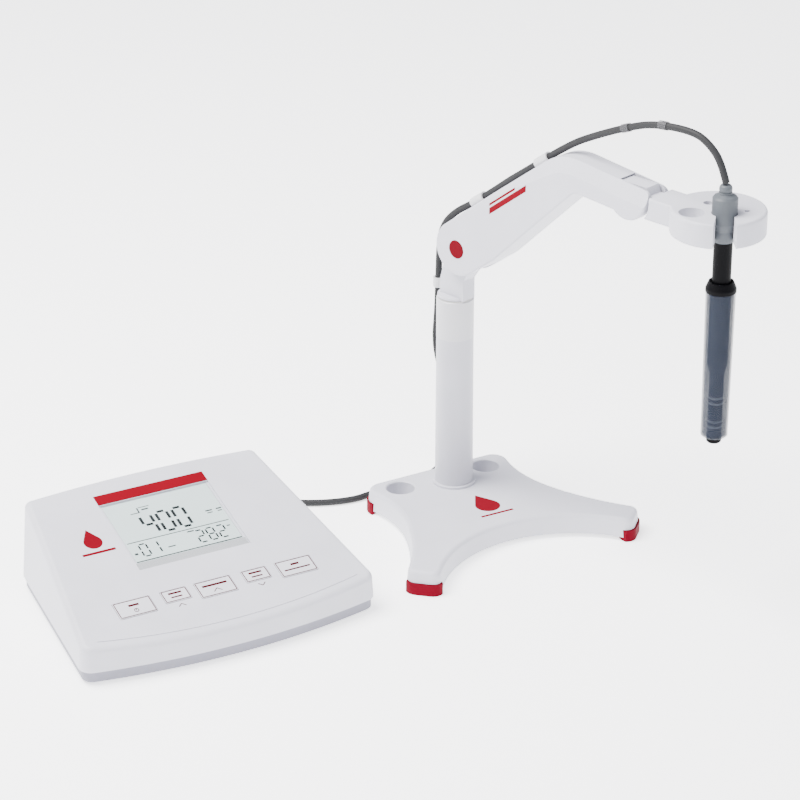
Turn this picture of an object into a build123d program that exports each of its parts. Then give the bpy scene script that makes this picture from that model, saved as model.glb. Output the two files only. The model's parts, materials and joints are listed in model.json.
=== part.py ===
from build123d import *
import os
from math import acos, atan2, cos, hypot, pi, radians, sin, tan

# Bench meter on the left, free-standing electrode stand on the right, joined by the probe's lead.
# Millimetres, +Z up. The meter faces -Y. Each sub-part is one solid (or one set of equal solids).
os.makedirs("parts", exist_ok=True)

# ---------------------------------------------------------------- layout on the bench
METER_X, METER_Y = -115.1, -12.4        # middle of the line between the panel's front corners
STAND_X, STAND_Y = METER_X + 234.4, METER_Y + 115.6     # axis of the stand's column
STAND_TURN = 1.5                        # the stand's own turn on the bench, degrees
ARM_TURN = -73.0                        # where the arm points at rest, degrees from +X

# ---------------------------------------------------------------- meter
CASE_FRONT, CASE_REAR = 218.0, 180.0    # widths between the front and the rear corners
CASE_DEPTH = 149.0                      # front corners to rear corners
FRONT_BOW, REAR_BOW = 13.0, 4.0
CORNER_R = 9.0
EDGE_R = 4.5                            # rounding around the panel
WALL = 2.6
WALL_DRAFT = 4.0                        # degrees
CASE_SPLIT_Z = 10.0                     # where the two case halves meet
BASE_Z = 1.4                            # underside of the lower case, on its feet
PANEL_FRONT_Z = 27.0                    # panel height over the front corners
PANEL_TILT = 15.5
SCREEN_W, SCREEN_LOW, SCREEN_HIGH = 82.0, 58.6, 127.0   # window in the panel: width, slope range
BAR_LOW, BAR_HIGH = 127.6, 137.0        # coloured bar above the window
KEY_Y = 26.0                            # the keys' middle line, up the slope
KEYS = {"escape": (-59.2, 26.2, 26.6, 15.4), "memory": (-28.8, 28.0, 18.8, 11.6),
        "read": (-0.2, 26.2, 26.4, 15.4), "mode": (30.5, 28.0, 18.4, 11.6),
        "calibrate": (59.8, 26.2, 26.4, 15.4)}          # name: x, slope, width, height
KEY_GAP = 0.35
CASE_SCREWS = [(-88, 16), (88, 16), (-72, 130), (72, 130)]
FOOT_PLACES = [(-74, 26), (74, 26), (-60, 118), (60, 118)]
BOARD_SCREWS = [(-60, 62), (60, 62), (-60, 112), (60, 112)]
SOCKET_Z = 25.0                         # the rear sockets' centre line
PROBE_SOCKET_X, POWER_SOCKET_X, DATA_PORT_X = 20.0, -22.0, -56.0

# ---------------------------------------------------------------- stand
BASE_UNDER_Z, BASE_TOP_Z = 3.0, 17.5
COLUMN_R, COLUMN_TOP_Z, COLLAR_TOP_Z = 13.8, 133.0, 162.5
PIT_R, PIT_FLOOR_Z = 10.25, 5.6
PITS = [(-36, 5), (36, 5)]
BASE_OFF = (-3.5, 4.0)                  # middle of the base from the column's axis
FEET = [(-60, 20, 12.0), (60, 20, 12.0), (-89, -116, 13.0), (89, -116, 13.0)]
FOOT_GROW, FOOT_SLACK, FOOT_TOP_Z = 0.9, 0.3, 8.4
BASE_SCREWS = [(-70, -82), (70, -82), (-18, 12), (18, 12)]

# ---------------------------------------------------------------- arm, in its own upright plane
SHOULDER = (13.5, 206.0)                # along the arm from the column axis, height
WRIST = (164.0, 285.0)
SHOULDER_R, WRIST_R = 19.6, 15.8
ELBOW_TOP, ELBOW_TOP_R = (102.2, 299.3), 42.0
ROOF_END = (183.0, 290.42)              # the roof's line runs on over the wrist to here
BELLY = [(47.0, 206.5), (119.0, 276.0), (155.0, 273.3)]     # the arm's under edge
ARM_HALF = 14.0                         # half the arm's thickness
ARM_WALL = 2.7
FORK_HALF, TONGUE_HALF = 7.3, 6.0       # half the gap at the arm's ends, and what runs in it
TONGUE_R, WRIST_TONGUE_R = 14.5, 13.0
LINK_DROP = (-1.0, -10.5)               # the link's pivots below the shoulder and wrist pins
LINK_HALF, SLOT_HALF, LINK_R, SLOT_SIDE = 1.8, 2.2, 2.3, 0.5
PIN_R, WRIST_PIN_R, LINK_PIN_R = 3.5, 2.5, 1.5
RUNNING = 0.05                          # radial clearance of a running fit

# ---------------------------------------------------------------- holder head and probe
HEAD_CENTRE, HEAD_R = (224.1, 7.2), 31.5    # along the arm, across it
HEAD_LOW_Z, HEAD_TOP_Z = 271.5, 288.5
HOLE_CENTRE, HOLE_R = (217.1, -11.9), 8.5   # spare electrode hole
SMALL_HOLE, SMALL_HOLE_R = (214.0, 9.0), 3.3
DIMPLE = (241.0, 15.0)
PROBE_AT = (232.8, 2.3)
MOUTH_TURN = -50.0                      # the slot's mouth, degrees from the arm's direction
MOUTH_W = 18.8                          # across the mouth's flare

# ---------------------------------------------------------------- lead
LEAD_R = 2.4
BENCH_LEAD_Z = 2.5


def save(piece, name):
    """Label a finished sub-part and write it under its node name."""
    piece.part.label = name
    export_step(piece.part, f"parts/{name}.step")


# ================================================================ planes and small helpers
def direction(turn):
    return (cos(radians(turn)), sin(radians(turn)), 0)


METER = Plane(origin=(METER_X, METER_Y, 0))
PANEL_NORMAL = (0, -sin(radians(PANEL_TILT)), cos(radians(PANEL_TILT)))
PANEL = Plane(origin=(METER_X, METER_Y, PANEL_FRONT_Z), x_dir=(1, 0, 0), z_dir=PANEL_NORMAL)
REAR = Plane(origin=(METER_X, METER_Y, 0), x_dir=(-1, 0, 0), z_dir=(0, 1, 0))
STAND = Plane(origin=(STAND_X, STAND_Y, 0), x_dir=direction(STAND_TURN), z_dir=(0, 0, 1))
BASE = Plane(origin=STAND.from_local_coords(Vector(*BASE_OFF, 0)), x_dir=direction(STAND_TURN),
             z_dir=(0, 0, 1))
ARM = Plane(origin=(STAND_X, STAND_Y, 0), x_dir=direction(ARM_TURN), z_dir=(0, 0, 1))
# the arm seen from its right-hand side: x along the arm, y up, normal across it to the right
ARM_SIDE = Plane(origin=(STAND_X, STAND_Y, 0), x_dir=direction(ARM_TURN),
                 z_dir=direction(ARM_TURN - 90))


def tangent_point(corner, centre, radius, side):
    """Where a line from corner touches a circle; side is +1 or -1."""
    away = atan2(corner[1] - centre[1], corner[0] - centre[0])
    swing = acos(radius / hypot(corner[0] - centre[0], corner[1] - centre[1]))
    turn = away + side * swing
    return (centre[0] + radius * cos(turn), centre[1] + radius * sin(turn))


def nearest(vertices, x, y):
    """The sketch vertex nearest to a point."""
    return vertices.sort_by_distance((x, y, 0))[0]


def across_arm(circles, half, centre=0.0):
    """A round bar across the arm: circles is a list of (x, y, radius)."""
    with BuildPart() as bar:
        with BuildSketch(ARM_SIDE.offset(centre - half)):
            for x, y, radius in circles:
                with Locations((x, y)):
                    Circle(radius)
        extrude(amount=2 * half)
    return bar.part


def shifted(point, step):
    return (point[0] + step[0], point[1] + step[1])


SHOULDER_LINK, WRIST_LINK = shifted(SHOULDER, LINK_DROP), shifted(WRIST, LINK_DROP)


# ================================================================ meter case
def case_outline(z, inset):
    """The meter's plan outline at height z, moved inwards by inset."""
    front, rear = CASE_FRONT / 2, CASE_REAR / 2
    with BuildSketch(METER.offset(z)) as outline:
        with BuildLine():
            ThreePointArc((-front, 0), (0, -FRONT_BOW), (front, 0))
            Line((front, 0), (rear, CASE_DEPTH))
            ThreePointArc((rear, CASE_DEPTH), (0, CASE_DEPTH + REAR_BOW), (-rear, CASE_DEPTH))
            Line((-rear, CASE_DEPTH), (-front, 0))
        make_face()
        fillet(outline.vertices(), CORNER_R)
        if inset:
            offset(amount=-inset)
    return outline.sketch


def case_block(z, inset, roof_drop):
    """A solid of the meter's outer form from z up to the panel."""
    with BuildPart() as block:
        extrude(case_outline(z, inset), amount=70, taper=WALL_DRAFT)
        split(bisect_by=PANEL.offset(-roof_drop), keep=Keep.BOTTOM)
    return block.part


LCD_Y = 96.4                            # the display's middle, up the slope
BOSS_R, BOSS_Z, SCREW_R = 4.0, 14.0, 1.5
HOLE_SLACK = 0.05
with BuildPart() as case_room:
    add(case_block(CASE_SPLIT_Z - 1, WALL, WALL))
    with BuildSketch(METER.offset(BOSS_Z)):
        with Locations(*CASE_SCREWS):
            Circle(BOSS_R)
    extrude(amount=70, mode=Mode.SUBTRACT)

REAR_OPENING = (-18.0, SOCKET_Z, 120.0, 22.0)      # centre x, z, width, height
with BuildPart() as top_case:
    add(case_block(CASE_SPLIT_Z, 0, 0))
    rim = top_case.faces().filter_by(Axis((0, 0, 0), PANEL_NORMAL))[0]
    fillet(rim.edges(), EDGE_R)
    add(case_room.part, mode=Mode.SUBTRACT)
    # screw holes up into the bosses
    with BuildSketch(METER.offset(BOSS_Z - 1)):
        with Locations(*CASE_SCREWS):
            Circle(SCREW_R + HOLE_SLACK)
    extrude(amount=11, mode=Mode.SUBTRACT)
    # window: a seat for the clear plate, and the view through it
    with BuildSketch(PANEL.offset(-1.3)):
        with Locations((0, (SCREEN_LOW + SCREEN_HIGH) / 2)):
            Rectangle(SCREEN_W + 0.4, SCREEN_HIGH - SCREEN_LOW + 0.4)
    extrude(amount=5, mode=Mode.SUBTRACT)
    with BuildSketch(PANEL.offset(-5)):
        with Locations((0, LCD_Y)):
            Rectangle(79, 60.6)
    extrude(amount=8, mode=Mode.SUBTRACT)
    with BuildSketch(PANEL.offset(-0.9)):
        with Locations((0, (BAR_LOW + BAR_HIGH) / 2)):
            Rectangle(SCREEN_W + 0.4, BAR_HIGH - BAR_LOW + 0.4)
    extrude(amount=5, mode=Mode.SUBTRACT)
    # keys
    with BuildSketch(PANEL.offset(-5)):
        for x, slope, width, height in KEYS.values():
            with Locations((x, slope)):
                RectangleRounded(width + 2 * KEY_GAP, height + 2 * KEY_GAP, 1.2)
    extrude(amount=8, mode=Mode.SUBTRACT)
    # a fine groove just inside the panel's front edge
    with BuildSketch(PANEL.offset(-0.35)):
        with BuildLine() as groove_line:
            ThreePointArc((-95, 4.5), (0, -6.0), (95, 4.5))
            offset(amount=0.4, kind=Kind.ARC)
        make_face()
    extrude(amount=2, mode=Mode.SUBTRACT)
    # rear opening for the sockets
    with BuildSketch(REAR.offset(135)):
        with Locations((-REAR_OPENING[0], REAR_OPENING[1])):
            RectangleRounded(REAR_OPENING[2], REAR_OPENING[3], 2)
    extrude(amount=30, mode=Mode.SUBTRACT)
save(top_case, "top_case")

BAND_INSET, BAND_TOP_Z = 1.8, CASE_SPLIT_Z - 0.2
TRAY_INSET, TRAY_WALL, TRAY_TOP_Z, TRAY_FLOOR = 3.2, 2.2, 14.0, 2.5
BOARD_Z, BOARD_T = 13.0, 1.6
with BuildPart() as bottom_case:
    extrude(case_outline(BASE_Z, BAND_INSET), amount=BAND_TOP_Z - BASE_Z)
    extrude(case_outline(BASE_Z, TRAY_INSET), amount=TRAY_TOP_Z - BASE_Z)
    extrude(case_outline(BASE_Z + TRAY_FLOOR, TRAY_INSET + TRAY_WALL), amount=20, mode=Mode.SUBTRACT)
    with BuildSketch(METER.offset(BASE_Z)):
        with Locations(*CASE_SCREWS):
            Circle(BOSS_R)
    extrude(amount=BOSS_Z - 0.2 - BASE_Z)
    with BuildSketch(METER.offset(BASE_Z)):
        with Locations(*BOARD_SCREWS):
            Circle(3)
    extrude(amount=BOARD_Z - BASE_Z)
    with BuildSketch(METER):
        with Locations(*CASE_SCREWS):
            Circle(SCREW_R + HOLE_SLACK)
    extrude(amount=20, mode=Mode.SUBTRACT)
    with BuildSketch(METER):
        with Locations(*CASE_SCREWS):
            Circle(3.2)
    extrude(amount=6, mode=Mode.SUBTRACT)
    with BuildSketch(METER.offset(7)):
        with Locations(*BOARD_SCREWS):
            Circle(1.2 + HOLE_SLACK)
    extrude(amount=10, mode=Mode.SUBTRACT)
    # the rear rim stops below the sockets
    with BuildSketch(REAR.offset(135)):
        with Locations((-REAR_OPENING[0], REAR_OPENING[1])):
            Rectangle(REAR_OPENING[2] + 10, REAR_OPENING[3] + 8)
    extrude(amount=30, mode=Mode.SUBTRACT)
    bottom_edges = bottom_case.faces().sort_by(Axis.Z)[0].outer_wire().edges()
    chamfer(bottom_edges, 1.2)
save(bottom_case, "bottom_case")

with BuildPart() as meter_feet:
    with BuildSketch(METER):
        with Locations(*FOOT_PLACES):
            Circle(7)
    extrude(amount=BASE_Z)
    chamfer(meter_feet.faces().group_by(Axis.Z)[0].edges(), 0.5)
save(meter_feet, "meter_feet")


def screw_set(plane, places, head_z, head_h, head_r, shank_r, shank_h):
    """Equal screws: heads from head_z, shanks going up for shank_h (down when negative)."""
    with BuildPart() as screws:
        with BuildSketch(plane.offset(head_z)):
            with Locations(*places):
                Circle(head_r)
                RegularPolygon(1.3, 6, mode=Mode.SUBTRACT)
        extrude(amount=head_h * 0.6)
        with BuildSketch(plane.offset(head_z + head_h * 0.6)):
            with Locations(*places):
                Circle(head_r)
        extrude(amount=head_h * 0.4)
        with BuildSketch(plane.offset(head_z + head_h)):
            with Locations(*places):
                Circle(shank_r)
        extrude(amount=shank_h)
    return screws


case_screws = screw_set(METER, CASE_SCREWS, 3.6, 2.4, 3.0, SCREW_R, 16)
save(case_screws, "case_screws")

UNDER_METER = Plane(origin=(METER_X, METER_Y, 0), x_dir=(1, 0, 0), z_dir=(0, 0, -1))
board_screws = screw_set(UNDER_METER, [(x, -y) for x, y in BOARD_SCREWS],
                         -(BOARD_Z + BOARD_T + 1.8), 1.8, 2.6, 1.2, 7)
save(board_screws, "board_screws")

with BuildPart() as main_board:
    with BuildSketch(METER.offset(BOARD_Z)):
        with Locations((0, 88)):
            Rectangle(136, 62)
        with Locations(*BOARD_SCREWS):
            Circle(1.4, mode=Mode.SUBTRACT)
    extrude(amount=BOARD_T)
    # packages: processor, converter, relay, crystal, supply coil, ribbon connectors
    with BuildSketch(METER.offset(BOARD_Z + BOARD_T)):
        for x, y, width, depth in [(-6, 88, 16, 16), (22, 98, 12, 9), (-36, 98, 14, 18), (14, 76, 10, 4),
                                   (44, 90, 12, 12), (-30, 72, 30, 5), (34, 70, 22, 5)]:
            with Locations((x, y)):
                Rectangle(width, depth)
    extrude(amount=3)
save(main_board, "main_board")

# ================================================================ window and display
with BuildPart() as display_window:
    with BuildSketch(PANEL.offset(-1.2)):
        with Locations((0, (SCREEN_LOW + SCREEN_HIGH) / 2)):
            Rectangle(SCREEN_W, SCREEN_HIGH - SCREEN_LOW)
    extrude(amount=1.35)
save(display_window, "display_window")

with BuildPart() as accent_bar:
    with BuildSketch(PANEL.offset(-0.85)):
        with Locations((0, (BAR_LOW + BAR_HIGH) / 2)):
            Rectangle(SCREEN_W, BAR_HIGH - BAR_LOW)
    extrude(amount=1.05)
save(accent_bar, "accent_bar")

with BuildPart() as lcd_panel:
    with BuildSketch(PANEL.offset(-5.6)):
        with Locations((0, LCD_Y)):
            Rectangle(78.6, 60)
    extrude(amount=4.15)
save(lcd_panel, "lcd_panel")

with BuildPart() as lcd_frame:
    with BuildSketch(PANEL.offset(-9)):
        with Locations((0, LCD_Y)):
            Rectangle(85, 66)
    extrude(amount=6.2)
    with BuildSketch(PANEL.offset(-5.7)):
        with Locations((0, LCD_Y)):
            Rectangle(79.4, 60.4)
    extrude(amount=6, mode=Mode.SUBTRACT)
save(lcd_frame, "lcd_frame")

# ================================================================ keys
KEY_TOP, KEY_TRAVEL = 0.35, 0.6
DOME_TOP, DOME_SHEET, DOME_SHEET_T = -6.1, -8.1, 1.0
for key_name, (x, slope, width, height) in KEYS.items():
    with BuildPart() as key:
        with BuildSketch(PANEL.offset(-3.4)):
            with Locations((x, slope)):
                RectangleRounded(width, height, 1.0)
        extrude(amount=3.4 + KEY_TOP)
        fillet(key.edges().group_by(Axis((0, 0, 0), PANEL_NORMAL))[-1], 0.3)
        with BuildSketch(PANEL.offset(-4.2)):
            with Locations((x, slope)):
                RectangleRounded(width + 2.6, height + 2.6, 1.5)
        extrude(amount=0.8)
        with BuildSketch(PANEL.offset(-5.3)):
            with Locations((x, slope)):
                Circle(2.2)
        extrude(amount=1.1)
    save(key, f"key_{key_name}")

KEY_PLACES = [(x, slope) for x, slope, width, height in KEYS.values()]
with BuildPart() as keypad_domes:
    with BuildSketch(PANEL.offset(DOME_SHEET)):
        with Locations((0, KEY_Y)):
            RectangleRounded(152, 22, 2)
    extrude(amount=DOME_SHEET_T)
    with BuildSketch(PANEL.offset(DOME_SHEET + DOME_SHEET_T)):
        with Locations(*KEY_PLACES):
            Circle(3.6)
    extrude(amount=DOME_TOP - DOME_SHEET - DOME_SHEET_T, taper=25)
save(keypad_domes, "keypad_domes")

with BuildPart() as keypad_board:
    with BuildSketch(PANEL.offset(DOME_SHEET - 1.6)):
        with Locations((0, KEY_Y)):
            Rectangle(156, 24)
    extrude(amount=1.6)
save(keypad_board, "keypad_board")

# ================================================================ rear sockets
REAR_PANEL_Y, REAR_PANEL_T = 141.6, 2.2
REAR_FACE_Y = REAR_PANEL_Y + REAR_PANEL_T
with BuildPart() as rear_panel:
    with BuildSketch(REAR.offset(REAR_PANEL_Y)):
        with Locations((-REAR_OPENING[0], SOCKET_Z)):
            Rectangle(REAR_OPENING[2] + 3, REAR_OPENING[3] + 1.6)
        with Locations((-PROBE_SOCKET_X, SOCKET_Z)):
            Circle(8.2, mode=Mode.SUBTRACT)
        with Locations((-POWER_SOCKET_X, SOCKET_Z)):
            Rectangle(9.4, 11.4, mode=Mode.SUBTRACT)
        with Locations((-DATA_PORT_X, SOCKET_Z)):
            RectangleRounded(31.4, 12.9, 3, mode=Mode.SUBTRACT)
    extrude(amount=REAR_PANEL_T)
save(rear_panel, "rear_panel")

with BuildPart() as probe_socket:
    with BuildSketch(REAR.offset(REAR_FACE_Y - 9)):
        with Locations((-PROBE_SOCKET_X, SOCKET_Z)):
            Circle(8)
    extrude(amount=12)
    with BuildSketch(REAR.offset(REAR_FACE_Y)):
        with Locations((-PROBE_SOCKET_X, SOCKET_Z)):
            Circle(9.6)
    extrude(amount=1.2)
    with BuildSketch(REAR.offset(REAR_FACE_Y - 6)):
        with Locations((-PROBE_SOCKET_X, SOCKET_Z)):
            Circle(5.0)
    extrude(amount=12, mode=Mode.SUBTRACT)
save(probe_socket, "probe_socket")

with BuildPart() as power_socket:
    with BuildSketch(REAR.offset(REAR_FACE_Y - 11)):
        with Locations((-POWER_SOCKET_X, SOCKET_Z)):
            Rectangle(9, 11)
    extrude(amount=12)
    with BuildSketch(REAR.offset(REAR_FACE_Y - 8)):
        with Locations((-POWER_SOCKET_X, SOCKET_Z)):
            Circle(3.2)
    extrude(amount=12, mode=Mode.SUBTRACT)
    with BuildSketch(REAR.offset(REAR_FACE_Y - 9)):
        with Locations((-POWER_SOCKET_X, SOCKET_Z)):
            Circle(1.05)
    extrude(amount=8)
save(power_socket, "power_socket")

with BuildPart() as data_port:
    with BuildSketch(REAR.offset(REAR_FACE_Y - 8)):
        with Locations((-DATA_PORT_X, SOCKET_Z)):
            RectangleRounded(31, 12.5, 3)
    extrude(amount=9)
    with BuildSketch(REAR.offset(REAR_FACE_Y - 5)):
        with Locations((-DATA_PORT_X, SOCKET_Z)):
            RectangleRounded(17, 8, 2.5)
    extrude(amount=9, mode=Mode.SUBTRACT)
    with BuildSketch(REAR.offset(REAR_FACE_Y - 5)):
        for row_z, pin_count in ((1.4, 5), (-1.4, 4)):
            with Locations((-DATA_PORT_X, SOCKET_Z + row_z)):
                with GridLocations(2.76, 1, pin_count, 1):
                    Circle(0.5)
    extrude(amount=4.5)
save(data_port, "data_port")


# ================================================================ stand base
def base_outline(z, inset):
    """The base's plan: straight rear edge, waisted sides, two splayed legs, hollow front."""
    with BuildSketch(BASE.offset(z)) as outline:
        with BuildLine():
            Line((63, 22.5), (-63, 22.5))
            waist = ThreePointArc((-63, 22.5), (-55.2, -12), (-60.5, -44))
            leg = TangentArc((-60.5, -44), (-98, -106), tangent=waist % 1)
            Line((-98, -106), (-79, -124))
            ThreePointArc((-79, -124), (0, -82), (79, -124))
            Line((79, -124), (98, -106))
            ThreePointArc((98, -106), (-(leg @ 0.5).X, (leg @ 0.5).Y), (60.5, -44))
            ThreePointArc((60.5, -44), (55.2, -12), (63, 22.5))
        make_face()
        for x, y, radius in [(63, 22.5, 12), (98, -106, 8), (79, -124, 7)]:
            for side in (-1, 1):
                fillet(nearest(outline.vertices(), side * x, y), radius)
        if inset:
            offset(amount=-inset)
    return outline.sketch


def feet_block(grow):
    """The four feet: shoes that follow the base's corners, made larger all round by grow."""
    with BuildPart() as block:
        extrude(base_outline(0, -grow), amount=FOOT_TOP_Z + grow - FOOT_GROW)
        with BuildSketch(BASE):
            for x, y, radius in FEET:
                with Locations((x, y)):
                    Circle(radius + grow)
        extrude(amount=FOOT_TOP_Z + grow, mode=Mode.INTERSECT)
    return block.part


CUP_R = PIT_R + 2.0
COLUMN_BORE_R = 10.6
with BuildPart() as base_cover:
    extrude(base_outline(BASE_UNDER_Z, 0), amount=BASE_TOP_Z - BASE_UNDER_Z, taper=5)
    fillet(base_cover.faces().sort_by(Axis.Z)[-1].edges(), 3.2)
    extrude(base_outline(BASE_UNDER_Z, 3.4), amount=BASE_TOP_Z - BASE_UNDER_Z - 3,
            mode=Mode.SUBTRACT)
    with BuildSketch(BASE.offset(PIT_FLOOR_Z - 1.6)):
        with Locations(*PITS):
            Circle(CUP_R)
    extrude(amount=12)
    with BuildSketch(BASE.offset(PIT_FLOOR_Z)):
        with Locations(*PITS):
            Circle(PIT_R)
    extrude(amount=20, mode=Mode.SUBTRACT)
    with BuildSketch(BASE.offset(BASE_TOP_Z - 0.8)):
        with Locations(*PITS):
            Circle(PIT_R)
    extrude(amount=1, taper=-45, mode=Mode.SUBTRACT)
    # a raised ring that the column stands in
    with BuildSketch(STAND.offset(BASE_TOP_Z - 4)):
        Circle(COLUMN_R + 2.2)
    extrude(amount=5.6)
    with BuildSketch(STAND.offset(BASE_TOP_Z - 3)):
        Circle(COLUMN_R)
    extrude(amount=10, mode=Mode.SUBTRACT)
    with BuildSketch(STAND.offset(BASE_UNDER_Z)):
        Circle(3.2)
    extrude(amount=20, mode=Mode.SUBTRACT)
    # bosses that the base plate is screwed to
    with BuildSketch(BASE.offset(8.6)):
        with Locations(*BASE_SCREWS):
            Circle(4)
    extrude(amount=7)
    with BuildSketch(BASE.offset(8)):
        with Locations(*BASE_SCREWS):
            Circle(SCREW_R + HOLE_SLACK)
    extrude(amount=6, mode=Mode.SUBTRACT)
    add(feet_block(FOOT_GROW + FOOT_SLACK), mode=Mode.SUBTRACT)
save(base_cover, "base_cover")

PLATE_Z, PLATE_T = 3.4, 5.0
with BuildPart() as base_plate:
    extrude(base_outline(PLATE_Z, 4.2), amount=PLATE_T)
    with BuildSketch(BASE.offset(PLATE_Z)):
        with Locations(*PITS):
            Circle(CUP_R + 0.4)
        with Locations(*BASE_SCREWS):
            Circle(SCREW_R + HOLE_SLACK)
    extrude(amount=PLATE_T, mode=Mode.SUBTRACT)
    with BuildSketch(BASE):
        with Locations(*BASE_SCREWS):
            Circle(3.3)
    extrude(amount=6, mode=Mode.SUBTRACT)
    with BuildSketch(STAND.offset(PLATE_Z)):
        Circle(3.1)
    extrude(amount=PLATE_T, mode=Mode.SUBTRACT)
    with BuildSketch(STAND):
        Circle(6.4)
    extrude(amount=6, mode=Mode.SUBTRACT)
    add(feet_block(FOOT_GROW + FOOT_SLACK), mode=Mode.SUBTRACT)
save(base_plate, "base_plate")

with BuildPart() as base_feet:
    add(feet_block(FOOT_GROW))
save(base_feet, "base_feet")

base_screws = screw_set(BASE, BASE_SCREWS, 3.6, 2.4, 3.0, SCREW_R, 7)
save(base_screws, "base_screws")

# ================================================================ column, collar and swivel
SPIGOT_LOW_Z = 112.0
with BuildPart() as column:
    with BuildSketch(STAND.offset(BASE_TOP_Z - 3)):
        Circle(COLUMN_R)
    extrude(amount=COLUMN_TOP_Z - BASE_TOP_Z + 3, taper=0.25)
    with BuildSketch(STAND.offset(BASE_TOP_Z + 9)):
        Circle(COLUMN_BORE_R)
    extrude(amount=130, mode=Mode.SUBTRACT)
    with BuildSketch(STAND.offset(10)):
        Circle(3.0)
    extrude(amount=20, mode=Mode.SUBTRACT)
save(column, "column")

with BuildPart() as column_bolt:
    with BuildSketch(STAND.offset(3.6)):
        Circle(6.0)
        RegularPolygon(2.6, 6, mode=Mode.SUBTRACT)
    extrude(amount=1.6)
    with BuildSketch(STAND.offset(5.2)):
        Circle(6.0)
    extrude(amount=0.8)
    with BuildSketch(STAND.offset(6.0)):
        Circle(2.95)
    extrude(amount=34)
    with BuildSketch(STAND.offset(BASE_TOP_Z + 9.1)):
        RegularPolygon(5.4, 6)
    extrude(amount=5)
save(column_bolt, "column_bolt")

BUSH_R, STUB_R = 11.0, 8.0
SWIVEL_Z = COLUMN_TOP_Z + 2             # underside of the bush
with BuildPart() as column_collar:
    with BuildSketch(STAND.offset(COLUMN_TOP_Z)):
        Circle(13.35)
    extrude(amount=COLLAR_TOP_Z - COLUMN_TOP_Z)
    chamfer(column_collar.faces().sort_by(Axis.Z)[-1].edges(), 0.6)
    with BuildSketch(STAND.offset(SPIGOT_LOW_Z)):
        Circle(10.4)
    extrude(amount=COLUMN_TOP_Z - SPIGOT_LOW_Z)
    with BuildSketch(STAND.offset(SPIGOT_LOW_Z - 1)):
        Circle(9.6)
    extrude(amount=40, mode=Mode.SUBTRACT)
    with BuildSketch(STAND.offset(SWIVEL_Z)):
        Circle(BUSH_R)
    extrude(amount=40, mode=Mode.SUBTRACT)
save(column_collar, "column_collar")

with BuildPart() as swivel_bush:
    with BuildSketch(STAND.offset(SWIVEL_Z)):
        Circle(BUSH_R)
    extrude(amount=COLLAR_TOP_Z - SWIVEL_Z)
    with BuildSketch(STAND.offset(COLLAR_TOP_Z)):
        Circle(12.6)
    extrude(amount=0.9)
    with BuildSketch(STAND.offset(SWIVEL_Z - 1)):
        Circle(STUB_R + RUNNING)
    extrude(amount=40, mode=Mode.SUBTRACT)
save(swivel_bush, "swivel_bush")

# ================================================================ neck
NECK_Z = COLLAR_TOP_Z + 1.2
NECK_BACK, NECK_FRONT = -9.0, 12.8
NECK_REAR_Z, NECK_FRONT_Z = 176.0, 179.0


def swept_slot(pivot, first, last, reach, eye_r):
    """Outline swept by the link, as its direction from the pivot turns from first to last."""
    with BuildSketch(ARM_SIDE.offset(-SLOT_HALF)) as slot:
        with BuildLine():
            Polyline(*[(pivot[0] + reach * cos(radians(turn)), pivot[1] + reach * sin(radians(turn)))
                       for turn in (first, (first + last) / 2, last)], pivot, close=True)
        make_face()
        offset(amount=LINK_R + SLOT_SIDE)
        with Locations(pivot):
            Circle(eye_r)
    return slot.sketch


with BuildPart() as neck:
    neck_left = tangent_point((NECK_BACK, NECK_REAR_Z), SHOULDER, TONGUE_R, -1)
    neck_right = tangent_point((NECK_FRONT, NECK_FRONT_Z), SHOULDER, TONGUE_R, 1)
    with BuildSketch(ARM_SIDE.offset(-TONGUE_HALF)):
        with BuildLine():
            Polyline((NECK_BACK, NECK_Z), (NECK_FRONT, NECK_Z), (NECK_FRONT, NECK_FRONT_Z), neck_right,
                     SHOULDER, neck_left, (NECK_BACK, NECK_REAR_Z), close=True)
        make_face()
        with Locations(SHOULDER):
            Circle(TONGUE_R)
    extrude(amount=2 * TONGUE_HALF)
    # round foot of the neck, on the collar
    with BuildSketch(STAND.offset(NECK_Z)):
        Circle(12.6)
    extrude(amount=1.5)
    with BuildSketch(STAND.offset(SWIVEL_Z - 0.2)):
        Circle(STUB_R)
    extrude(amount=NECK_Z - SWIVEL_Z + 0.2)
    with BuildSketch(STAND.offset(SWIVEL_Z - 1)):
        Circle(2.55)
    extrude(amount=16, mode=Mode.SUBTRACT)
    add(across_arm([(*SHOULDER, PIN_R + RUNNING), (*SHOULDER_LINK, LINK_PIN_R)], 20), mode=Mode.SUBTRACT)
    extrude(swept_slot(SHOULDER_LINK, -18, 48, 30, 4.4), amount=2 * SLOT_HALF, mode=Mode.SUBTRACT)
save(neck, "neck")

with BuildPart() as swivel_bolt:
    with BuildSketch(STAND.offset(SWIVEL_Z - 6.2)):
        Circle(4.5)
    extrude(amount=4)
    with BuildSketch(STAND.offset(SWIVEL_Z - 2.2)):
        Circle(2.5)
    extrude(amount=16)
save(swivel_bolt, "swivel_bolt")

with BuildPart() as swivel_washer:
    with BuildSketch(STAND.offset(SWIVEL_Z - 2.1)):
        Circle(9.2)
        Circle(2.6, mode=Mode.SUBTRACT)
    extrude(amount=1.8)
save(swivel_washer, "swivel_washer")

NECK_LEAD_T = -16.2
NECK_CLIP_Z = 165.8
with BuildPart() as neck_clip:
    with BuildSketch(ARM.offset(NECK_CLIP_Z)):
        with Locations((NECK_LEAD_T, 0)):
            Circle(4.0)
        with Locations((NECK_BACK - 3.2, 0)):
            Rectangle(6.4, 5)
        with Locations((NECK_LEAD_T, 0)):
            Circle(LEAD_R + 0.3, mode=Mode.SUBTRACT)
    extrude(amount=7)
save(neck_clip, "neck_clip")


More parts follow.
